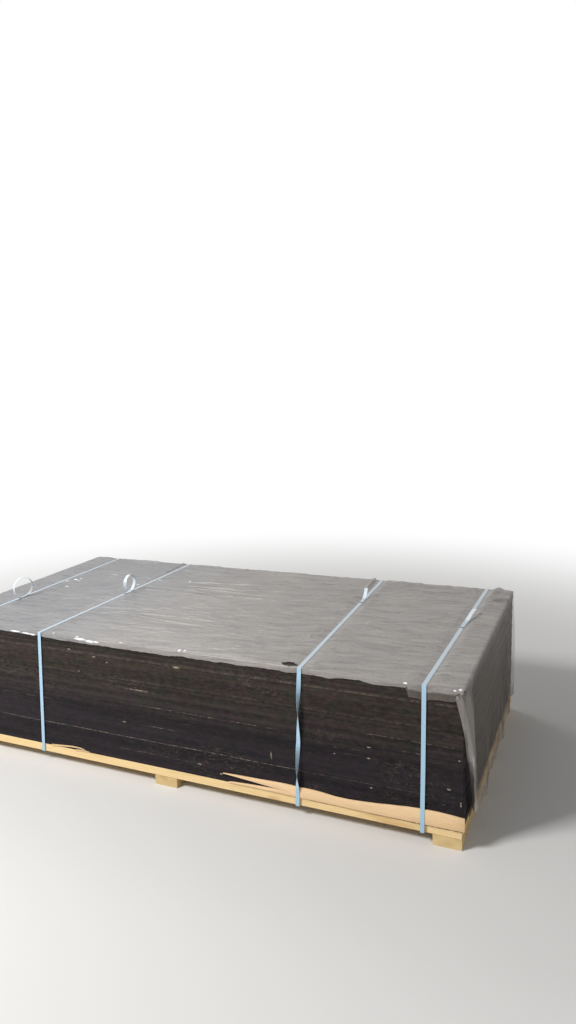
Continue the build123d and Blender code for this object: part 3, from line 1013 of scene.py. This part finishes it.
def end_line(side, depth):
    """The film's line at a depth below the top, seen from above, from its front edge to its back edge."""
    sunk = depth / end_drop
    front_y = front_plane - edge_gap
    if side > 0:
        line = [between(keys, depth) for keys in (right_edge_keys, right_corner_keys, right_crease_keys)]
    else:
        front_y += 0.055 * sunk ** 1.4
        line = [Vector((top_edge_x - 0.030 * (1 - sunk), front_y + 0.05 * sunk - 0.002)),
                Vector((top_edge_x + 0.001 + 0.012 * sunk, front_y - 0.001)),
                Vector((top_edge_x + 0.004 + 0.02 * sunk, front_y + 0.03))]
    start = line[-1].y
    stop = back_plane + edge_gap - 0.055 * sunk ** 1.5
    for index in range(1, end_points + 1):
        share = index / end_points
        y = start + (stop - start) * share
        fade = step(share, 0.0, 0.08)
        fold = ridge(y * 3.1 + side, depth * 0.5, 21.0 + side, 0.34) ** 1.3 * 0.023
        fold += ridge(y * 7.5, depth * 1.4, 25.0 + side, 0.3) ** 1.5 * 0.009
        belly = 0.010 * sunk * (1 - share) + 0.006 * sunk
        rest_x = top_edge_x + (line[2].x - top_edge_x) * (1 - fade) * 0.8
        x = rest_x + belly + fold * step(depth, 0.01, 0.30) * (0.15 + 0.85 * fade)
        line.append(Vector((x, y)))
    if side < 0:
        line = [Vector((-point.x, point.y)) for point in line]
    return line


def along_line(line, share):
    """The point at a share of a line's length."""
    lengths = [(b - a).length for a, b in zip(line, line[1:])]
    target = share * sum(lengths)
    for (a, b), length in zip(zip(line, line[1:]), lengths):
        if target <= length:
            return a.lerp(b, target / length if length else 0.0)
        target -= length
    return line[-1]


# %% From flat to draped
def bend_over(u, reach, side, height):
    """A point that lies reach beyond the start of the bend over the front (-1) or the back (+1)."""
    tops = strap_front_top if side < 0 else strap_back_top
    free = step(abs(min((u - x for x in tops), key=abs)), 0.009, 0.026)
    bend = tight_bend + (loose_bend - tight_bend) * free
    gap = edge_gap + (loose_gap - edge_gap) * free
    if side < 0:
        hem_share = front_hem(u) / hem_room
    else:
        hem_share = 1.0 + 0.2 * noise.noise((u * 7, 3.0, 1.0)) + 0.12 * noise.noise((u * 31, 5.0, 1.0))
    lost = loose_bend - bend                # a tight bend starts nearer to the edge
    flat_part = max(0.0, lost + gap - edge_gap)
    top = stack_top + max(film_lift + (gap - edge_gap), height * 0.6)
    quarter = bend * math.pi / 2
    plane = front_plane if side < 0 else back_plane
    past = reach - flat_part
    if past <= 0:
        return Vector((u, plane - side * (bend + flat_part - gap) + side * reach, top))
    if past < quarter:
        angle = past / bend
        out = gap - bend + bend * math.sin(angle)
        return Vector((u, plane + side * out, top - bend * (1 - math.cos(angle))))
    hang = (past - quarter) * hem_share
    drop = max(0.0, hang / max(0.001, front_hem(u) if side < 0 else hem_room))
    flutter = 0.5 + noise.noise((u * 13, drop, 3.3 * side))
    flutter += 0.5 * noise.noise((u * 47, drop * 2, 5.3 * side))
    bulge = free * drop * max(0.0, 0.0035 * flutter)
    bulge += free * 0.002 * ridge(u * 20, hang * 30, 15.0 * side, 0.3) * min(1.0, drop * 2)
    return Vector((u, plane + side * (gap + bulge), top - bend - hang))


def drape(u, v, flat_share, lines):
    """Carries a point of the flat film to its draped place."""
    depth = abs(u) - top_edge_x
    front = max(0.0, front_start - v)
    back = max(0.0, v - back_start)
    if depth <= 0:
        if front > 0:
            return bend_over(u, front, -1, film_lift)
        if back > 0:
            return bend_over(u, back, 1, top_wrinkle(u, back_start))
        return Vector((u, v, stack_top + top_wrinkle(u, v)))
    side = 1 if u > 0 else -1
    hem = 1.0 + 0.018 * noise.noise((v * 9, 6.0 * side, 2.0))
    hem += 0.012 * noise.noise((v * 41, 8.0 * side, 2.0))
    place = along_line(lines[side, round(depth, 6)], flat_share)
    creep = 0.0012 * noise.noise((v * 24, depth * 22, 31.0)) + 0.0010 * ridge(v * 30, depth * 9, 33.0)
    out = max(0.0, creep) * step(depth, 0.0, 0.03)
    draped = Vector((place.x + side * out, place.y, stack_top + film_lift - depth * hem))
    if front > 0:
        edge = bend_over(side * top_edge_x, front, -1, film_lift)
        edge.x -= side * min(depth, 0.03) * 0.8
        mixed = edge.lerp(draped, step(depth, 0.0, 0.045))
        crumple = noise.noise((u * 60, v * 80, 2.0)) + 0.5 * noise.noise((u * 150, v * 170, 4.0))
        mixed.y -= max(0.0, 0.0035 * crumple + 0.0012) * step(depth, 0.08, 0.01)
        return mixed
    if back > 0:
        edge = bend_over(side * top_edge_x, back, 1, film_lift)
        return edge.lerp(draped, step(depth, 0.0, 0.05))
    return draped


# %% The film's mesh
tear_far, tear_near = 0.080, 0.010          # the tear's ends, to the left of the third strap
tear_half, tear_inset = 0.0155, 0.016       # half its breadth, and how far in its middle lies


def make_film():
    bpy.ops.object.select_all(action="DESELECT")
    bpy.ops.mesh.primitive_grid_add(x_subdivisions=len(columns) - 1, y_subdivisions=len(rows) - 1, size=1)
    piece = bpy.context.object
    piece.name = "milky_film"
    lines = {(side, round(drop, 6)): end_line(side, drop) for side in (-1, 1) for drop in drop_steps}
    drop_of = [min(drop_steps, key=lambda drop: abs(drop - abs(u) + top_edge_x)) for u in columns]
    width = rows[-1] - rows[0]
    uv = piece.data.uv_layers[0]
    flat = {}
    places = {}
    for vertex in piece.data.vertices:
        i = round((vertex.co.x + 0.5) * (len(columns) - 1))
        j = round((vertex.co.y + 0.5) * (len(rows) - 1))
        u, v = columns[i], rows[j]
        flat[vertex.index] = (u, v)
        if abs(u) > top_edge_x:
            u = math.copysign(top_edge_x + drop_of[i], u)
        places[vertex.index] = drape(u, v, (v - rows[0]) / width, lines)
    for vertex in piece.data.vertices:
        vertex.co = places[vertex.index]
    for loop in piece.data.loops:
        uv.data[loop.index].uv = flat[loop.vertex_index]
    return piece


def tear_film(piece):
    """Opens the small tear beside the third strap, at the front edge."""
    tear_left, tear_right = strap_front_top[2] - tear_far, strap_front_top[2] - tear_near
    bpy.ops.object.mode_set(mode="EDIT")

    def in_tear(centre, normal):
        if not tear_left < centre.x < tear_right:
            return False
        middle = (tear_left + tear_right) / 2
        half = tear_half * (1 - ((centre.x - middle) / (tear_right - middle)) ** 2)
        half += 0.004 * noise.noise((centre.x * 120, 1.0, 1.0))
        return abs(centre.y - front_plane - tear_inset) < half and centre.z > stack_top - 0.004

    pick_faces(piece, in_tear)
    bpy.ops.mesh.delete(type="FACE")
    bpy.ops.object.mode_set(mode="OBJECT")


film = make_film()
tear_film(film)
print("film", len(film.data.polygons), "faces")


# %% [markdown]
# ## The film's finish
#
# Thin polythene is clear, but this one is milky and dusty: most of the light scatters back, and the
# dark sheets show through a little. Alpha does that, with a cloudy mask. Fine creases are in the bump.
# The bright glints on the folds are painted highlights: pale spots, given in a list.

# %% Milky film
# places on the flat film with length and breadth of painted highlights, where folds glint white
glint_highlight_spots = [(-1.008, 0.134, 0.026, 0.015), (-0.992, 0.155, 0.016, 0.013),
               (-0.975, 0.114, 0.024, 0.012), (-0.964, 0.007, 0.026, 0.011),
               (-1.040, 0.100, 0.022, 0.011), (-0.620, 0.150, 0.012, 0.016),
               (-0.560, 0.268, 0.022, 0.010), (-0.505, 0.262, 0.012, 0.008),
               (-0.380, 0.278, 0.014, 0.008), (-0.860, 0.280, 0.060, 0.004),
               (-0.385, -0.616, 0.060, 0.012), (-0.335, -0.621, 0.050, 0.014),
               (-0.300, -0.620, 0.030, 0.010), (-0.405, -0.604, 0.012, 0.010),
               (-0.735, -0.624, 0.060, 0.016), (-0.675, -0.628, 0.050, 0.014),
               (-0.640, -0.630, 0.034, 0.012), (-0.532, -0.603, 0.008, 0.010),
               (0.098, -0.603, 0.010, 0.016), (0.122, -0.600, 0.006, 0.020),
               (1.016, -0.613, 0.016, 0.008), (1.207, -0.610, 0.010, 0.008),
               (1.188, -0.615, 0.012, 0.006), (-0.180, -0.606, 0.020, 0.004)]


def make_film_material():
    material, tree, surface = new_material("milky film")
    place = object_place(tree)
    flat = flat_place(tree)
    along, across, _ = split(tree, flat)
    lying = smooth_mask(tree, levelness(tree), 0.25, 0.8)
    bent = noise_at(tree, flat, 3.2, 2.0, 0.5)[1]
    bent = vectors(tree, "MULTIPLY_ADD", bent, (0.0, 0.09, 0.0), flat)
    turned = spun(tree, bent, -7)
    cloud = streaked(tree, flat, 2.5, 5.0, 1.0, 2.0)
    grain = streaked(tree, turned, 11.0, 120.0, 1.0, 4.0)
    spots = use_group(tree, marks_group, Vector=place, Along=70.0, Upright=70.0, Threshold=0.62,
                      Softness=0.12, Seed=6.0)[0]
    colour = tint(tree, cloud, rgb(0.330, 0.309, 0.291), rgb(0.405, 0.379, 0.358))
    patchy = noise_at(tree, flat, 4.5, 3.0, 0.6)[0]
    patchy = smooth_mask(tree, patchy, 0.38, 0.66)
    # darker and paler streaks: partly the film's own tone, partly painted shade and light of fine creases
    darker = times(tree, smooth_mask(tree, grain, 0.46, 0.74), add_up(tree, 0.25, (patchy, 0.55)))
    colour = stain(tree, colour, darker, 0.68, 0.66, 0.65)
    paler = times(tree, smooth_mask(tree, grain, 0.40, 0.24), add_up(tree, 0.1, (patchy, 0.5)))
    colour = tint(tree, paler, colour, rgb(0.53, 0.505, 0.475))
    cool = times(tree, smooth_mask(tree, along, -0.05, -0.75), add_up(tree, 0.7, (cloud, 0.5)))
    colour = stain(tree, colour, cool, 0.88, 0.94, 1.03)
    # wide streaks of painted shade and light, as over soft creases
    wide = streaked(tree, turned, 4.5, 30.0, 1.0, 11.0)
    colour = stain(tree, colour, smooth_mask(tree, wide, 0.48, 0.62), 0.84, 0.85, 0.87)
    colour = stain(tree, colour, smooth_mask(tree, wide, 0.47, 0.36), 1.13, 1.12, 1.10)
    mottle = noise_at(tree, flat, 85.0, 3.0, 0.6)[0]
    colour = stain(tree, colour, smooth_mask(tree, mottle, 0.35, 0.7), 0.86, 0.855, 0.85)
    colour = lay(tree, colour, spots, 0.22, rgb(0.62, 0.56, 0.47))
    # painted highlights: glints on the folds, as pale spots
    upright = put(tree, "CombineXYZ", along, -0.5, across).outputs[0]
    glint_highlight = any_spot(tree, upright, [((x, -0.5, y), length, breadth)
                                     for x, y, length, breadth in glint_highlight_spots])
    colour = lay(tree, colour, glint_highlight, 0.88, rgb(0.88, 0.89, 0.91))
    # painted shade: the ends, which hang in shade, are painted browner, and so is the long stretch of the
    # front hem
    beyond_end = smooth_mask(tree, maths(tree, "ABSOLUTE", along), end_plane + 0.004, end_plane + 0.05)
    behind_flap = smooth_mask(tree, across, front_plane + 0.03, front_plane + 0.11)
    shaded = times(tree, beyond_end, behind_flap)
    colour = lay(tree, colour, shaded, 0.75, rgb(0.30, 0.255, 0.205))
    beyond_hem = smooth_mask(tree, across, front_plane - 0.011, front_plane - 0.016)
    deep_part = times(tree, beyond_hem, smooth_mask(tree, along, 1.015, 1.022),
                      smooth_mask(tree, along, end_plane + 0.01, end_plane))
    colour = lay(tree, colour, deep_part, 0.6, rgb(0.30, 0.26, 0.21))
    # painted light on the free flap: its front strip is dulled with painted shade, and the strip behind
    # it is lightened as if lit
    on_flap = smooth_mask(tree, along, end_plane + 0.01, end_plane + 0.04)
    widening = maths(tree, "MINIMUM", maths(tree, "SUBTRACT", along, end_plane + 0.134), 0.0)
    strip_place = add_up(tree, across, (widening, 0.27))
    flap_front_shade = times(tree, on_flap, smooth_mask(tree, strip_place, -0.626, -0.634))
    flap_lit_strip = times(tree, on_flap, smooth_mask(tree, strip_place, -0.634, -0.626),
                       smooth_mask(tree, strip_place, -0.570, -0.588))
    colour = stain(tree, colour, flap_front_shade, 0.74, 0.73, 0.71)
    colour = lay(tree, colour, flap_lit_strip, 0.75, rgb(0.60, 0.575, 0.545))
    # dust lies on the top, and leaves the hanging parts clearer
    on_hem = smooth_mask(tree, across, front_plane + 0.004, front_plane - 0.004)
    hem_share = add_up(tree, 0.26, (lying, -0.26))
    below_sheets = smooth_mask(tree, maths(tree, "ABSOLUTE", along), end_plane + 0.43, end_plane + 0.49)
    veil = add_up(tree, 0.54, (lying, 0.24), (cloud, 0.12), (on_hem, hem_share), (grain, -0.14),
                  (shaded, -0.16), (below_sheets, 0.32), (deep_part, -0.50))
    # the painted highlights are also more opaque
    veil = maths(tree, "MULTIPLY_ADD", glint_highlight, 0.3, veil, clamp=True)
    squeezed = scaled(tree, turned, (34.0, 190.0, 1.0))
    crease = put(tree, "TexNoise", squeezed, None, 1.0, 3.0, 0.55, 2.0, 0.5).outputs[0]
    crease = apart(tree, crease, 0.5)
    crumple = put(tree, "TexVoronoi", scaled(tree, flat, (26.0, 70.0, 1.0)),
                  None, 1.0, feature="DISTANCE_TO_EDGE").outputs["Distance"]
    relief = add_up(tree, 0.0, (crease, -1.0), (crumple, 0.25))
    rough = add_up(tree, 0.24, (cloud, 0.14))
    cover(tree, surface, colour, rough, 0.3, relief, 0.75, 0.0022)
    tree.links.new(veil, surface.inputs["Alpha"])
    return material


dress(film, make_film_material())
for face in film.data.polygons:
    face.use_smooth = True
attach(film, "root")
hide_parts("dust_film")


# %% [markdown]
# ## The straps
#
# Each strap is one plastic band, 16 mm wide, pulled tight round the load. Its lower end lies under the
# weld on top; from there it runs back over the rear edge, under the deck, up the front, forward over
# the weld and on into a loose tail that curls up. So the band is made the way it was laid: a short
# strip is started at the weld, and its leading edge is pulled from bend to bend. The third strap makes
# one full turn on its way down the front, so its edge is turned a little at each step.

# %% Band helpers
band_width = 0.016
band_thickness = 0.0008
weld_length = 0.020
bend_radius = 0.0025
bend_pulls = 4              # pulls round one bend


class Band:
    """A strip in the making, with its leading edge selected."""

    def __init__(self, name, place):
        bpy.ops.object.select_all(action="DESELECT")
        bpy.ops.mesh.primitive_plane_add(size=band_width, location=place)
        self.piece = bpy.context.object
        self.piece.name = name
        bpy.ops.object.transform_apply(location=True, rotation=True, scale=True)
        bpy.ops.object.mode_set(mode="EDIT")
        self.here = Vector(place) + Vector((0, band_width / 2, 0))
        shape = bmesh.from_edit_mesh(self.piece.data)
        bpy.ops.mesh.select_mode(type="EDGE")
        bpy.ops.mesh.select_all(action="DESELECT")
        for edge in shape.edges:
            if all(v.co.y > place[1] for v in edge.verts):
                edge.select_set(True)
        bmesh.update_edit_mesh(self.piece.data)

    def run_to(self, place):
        """Pulls the leading edge to a place."""
        place = Vector(place)
        pull(place - self.here)
        self.here = place

    def turn(self, degrees):
        """Turns the leading edge about an upright axis through its own middle."""
        bpy.ops.transform.rotate(value=math.radians(degrees), orient_axis="Z", center_override=self.here)

    def bend(self, x, centre, start, stop, radius):
        """Leads the edge round a bend whose axis runs along X; angles in degrees from +Y towards +Z."""
        for index in range(1, bend_pulls + 1):
            angle = math.radians(start + (stop - start) * index / bend_pulls)
            self.run_to((x, centre[0] + radius * math.cos(angle), centre[1] + radius * math.sin(angle)))


# %% Laying a band round the load
weld_places = [-0.218, 0.011, 0.228, 0.026]
# share of the way up the front, and degrees turned, where a strap is twisted
twist_keys = [(0.0, 0), (0.10, 0), (0.17, 35), (0.258, 90), (0.363, 129), (0.423, 150), (0.476, 180),
              (0.574, 213), (0.634, 232), (0.724, 270), (0.80, 306), (0.844, 328), (0.92, 350),
              (0.97, 360), (1.0, 360)]
twisted_strap = 2
front_stand = 0.0022                    # the bands' distance from the film's gap down the front
slat_stand = 0.0012                     # and from the slat
twist_steps, plain_steps = 60, 10       # pulls up the front, for the twisted strap and the others


def turned_at(share):
    """Degrees that the twisted strap has turned at a share of its way up the front."""
    for (s0, a0), (s1, a1) in zip(twist_keys, twist_keys[1:]):
        if share <= s1:
            return a0 + (a1 - a0) * (share - s0) / (s1 - s0)
    return twist_keys[-1][1]


def lay_band(index):
    """One strap from the weld round the load and back over the weld."""
    name = strap_names[index]
    weld = weld_places[index]
    top = stack_top + film_lift + band_thickness * 0.6      # the band rests on the pressed film
    under = deck_bottom - band_thickness
    band = Band("band_" + name[-1], (strap_line(index, weld), weld, top))
    radius = bend_radius
    back_y = back_plane + edge_gap + front_stand + 0.001
    front_y = front_plane - edge_gap - front_stand
    slat_out = slat_low.y - slat_stand
    over_slat = strap_front_foot[index] > slat_low.x
    foot_y = slat_out if over_slat else front_y

    def run_on_top(y, height):
        """Pulls the band along its strap's line to a place across."""
        band.run_to((strap_line(index, y), y, height))

    for share in (0.35, 0.7):
        run_on_top(weld + (back_y - weld) * share, top)
    band.run_to((strap_back_top[index], back_y - radius, top))
    band.bend(strap_back_top[index], (back_y - radius, top - radius), 90, 0, radius)
    band.run_to((strap_back_foot[index], back_y, under + radius))
    band.bend(strap_back_foot[index], (back_y - radius, under + radius), 0, -90, radius)
    band.run_to((strap_front_foot[index], foot_y + radius, under))
    band.bend(strap_front_foot[index], (foot_y + radius, under + radius), -90, -180, radius)
    steps = twist_steps if index == twisted_strap else plain_steps
    foot = Vector((strap_front_foot[index], foot_y, under + radius))
    head = Vector((strap_front_top[index], front_y, top - radius))
    for count in range(1, steps + 1):
        share = count / steps
        place = foot.lerp(head, share)
        if over_slat:
            place.y = foot_y + (front_y - foot_y) * step(share, 0.12, 0.4)
        if index == twisted_strap:
            turned, before = turned_at(share), turned_at((count - 1) / steps)
            edge_out = 0.5 * band_width * abs(math.sin(math.radians(turned)))
            place.y -= edge_out + 0.001 * math.sin(share * math.pi)
            band.run_to(place)
            band.turn(turned - before)
        else:
            band.run_to(place)
    band.bend(strap_front_top[index], (front_y + radius, top - radius), 180, 90, radius)
    climb = weld - weld_length / 2 - 0.02
    for share in (0.4, 0.8, 1.0):
        run_on_top(front_y + radius + (climb - front_y - radius) * share, top)
    upper = top + band_thickness * 1.1
    run_on_top(weld - weld_length / 2, upper)
    run_on_top(weld + weld_length / 2, upper)
    return band


# %% Loose tails
def curl_tail(band, radii, sweep, turn, steps=36, face=0):
    """Curls the tail up and over, with a radius that changes from the first to the last of radii.

    Turn swings the whole curl about Z, and face swings its last quarter further.
    """
    heading = math.radians(turn)
    side_step = 0.10
    lead = Vector((math.sin(heading), math.cos(heading), 0))
    swung = 0.0
    angle = 0.0
    for index in range(steps):
        radius = radii[0] + (radii[1] - radii[0]) * index / steps
        angle_step = sweep / steps
        angle += angle_step
        middle = math.radians(angle - angle_step / 2)
        length = radius * math.radians(angle_step)
        move = lead * math.cos(middle) * length
        move.z = math.sin(middle) * length
        move += Vector((lead.y, -lead.x, 0)) * side_step * length
        swing = turn * step(index / steps, 0.0, 0.25) + face * step(index / steps, 0.68, 0.86)
        band.run_to(band.here + move)
        band.turn(swing - swung)
        swung = swing


def finish_band(band, material):
    """Gives the band its thickness, its own coordinates along and across, and its finish."""
    bpy.ops.object.mode_set(mode="OBJECT")
    piece = band.piece
    data = piece.data
    pairs = [(index, index + 1) for index in range(2, len(data.vertices), 2)]
    reach = {0: 0.0, 1: 0.0}
    before = (data.vertices[0].co + data.vertices[1].co) / 2
    run = 0.0
    for a, b in pairs:
        middle = (data.vertices[a].co + data.vertices[b].co) / 2
        run += (middle - before).length
        reach[a] = reach[b] = run
        before = middle
    uv = data.uv_layers[0]
    for loop in data.loops:
        side = loop.vertex_index % 2
        uv.data[loop.index].uv = (reach[loop.vertex_index], side * band_width)
    solid = piece.modifiers.new("thickness", "SOLIDIFY")
    solid.thickness = band_thickness
    solid.offset = 0.0
    bpy.context.view_layer.objects.active = piece
    bpy.ops.object.modifier_apply(modifier=solid.name)
    bpy.ops.object.mode_set(mode="EDIT")
    bpy.ops.mesh.select_all(action="SELECT")
    bpy.ops.mesh.normals_make_consistent(inside=False)
    bpy.ops.object.mode_set(mode="OBJECT")
    bpy.ops.object.shade_smooth_by_angle(angle=math.radians(40))
    dress(piece, material)
    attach(piece, "root")
    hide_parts("strap_" + piece.name[-1])
    print(piece.name, "length", round(run, 3), "faces", len(data.polygons))


# %% Embossed blue band
def make_band_material():
    material, tree, surface = new_material("embossed band")
    along = flat_place(tree)
    pitch = 0.0022
    cell = vectors(tree, "FRACTION", spun(tree, along, 45, (1 / pitch, 1 / pitch, 1)))
    centred = vectors(tree, "SUBTRACT", cell, (0.5, 0.5, 0.0))
    part = split(tree, vectors(tree, "ABSOLUTE", centred))
    waffle = smooth_mask(tree, maths(tree, "MAXIMUM", part[0], part[1]), 0.36, 0.46)
    cloud = streaked(tree, along, 9.0, 60.0, 1.0, 1.0)
    scuff = use_group(tree, marks_group, Vector=along, Along=120.0, Upright=1.0, Threshold=0.62,
                      Softness=0.12, Seed=3.0)[0]
    colour = tint(tree, cloud, rgb(0.33, 0.51, 0.66), rgb(0.43, 0.61, 0.75))
    colour = lay(tree, colour, scuff, 0.4, rgb(0.62, 0.72, 0.80))
    colour = lay(tree, colour, waffle, 0.25, rgb(0.30, 0.46, 0.62))
    # the runs on top are greyer, the loose tails get a painted highlight, and each weld starts with a
    # painted shadow
    x, y, z = split(tree, object_place(tree))
    greyed_on_top = times(tree, smooth_mask(tree, z, stack_top - 0.002, stack_top), 0.8)
    colour = tint(tree, greyed_on_top, colour, rgb(0.415, 0.460, 0.500))
    # painted highlight on the loose tails, paler where they stand up off the top
    tail_highlight = smooth_mask(tree, z, stack_top + 0.006, stack_top + 0.014)
    colour = lay(tree, colour, tail_highlight, 0.7, rgb(0.74, 0.81, 0.86))
    on_top = times(tree, smooth_mask(tree, z, stack_top - 0.002, stack_top),
                   smooth_mask(tree, z, stack_top + 0.006, stack_top + 0.005))
    for index, weld in enumerate(weld_places):
        beside = smooth_mask(tree, apart(tree, x, strap_line(index, weld)), 0.10, 0.09)
        before = smooth_mask(tree, apart(tree, y, weld - weld_length / 2 - 0.004), 0.008, 0.005)
        # painted shadow across the band just before the weld
        weld_shadow = times(tree, beside, before, on_top)
        colour = lay(tree, colour, weld_shadow, 0.85, rgb(0.030, 0.055, 0.085))
    rough = add_up(tree, 0.3, (scuff, 0.2))
    cover(tree, surface, colour, rough, 0.5, times(tree, waffle, -1.0), 0.35, 0.0003)
    return material


# %% The four straps
band_material = make_band_material()

first = lay_band(0)
curl_tail(first, (0.0495, 0.0550), 328, 22)
finish_band(first, band_material)

second = lay_band(1)
curl_tail(second, (0.046, 0.044), 296, 4, face=-40)
finish_band(second, band_material)

third = lay_band(2)
curl_tail(third, (0.036, 0.070), 66, -4, steps=12)
third.run_to(third.here + Vector((0.001, 0.006, 0.016)))
finish_band(third, band_material)

fourth = lay_band(3)
flat_tail_steps = 12
for count in range(flat_tail_steps):
    share = count / flat_tail_steps
    lift = 0.0042 * math.sin(math.pi * (share + 0.5 / flat_tail_steps)) - 0.0009 * share
    fourth.run_to(fourth.here + Vector((0.0019, 0.0132, lift)))
finish_band(fourth, band_material)
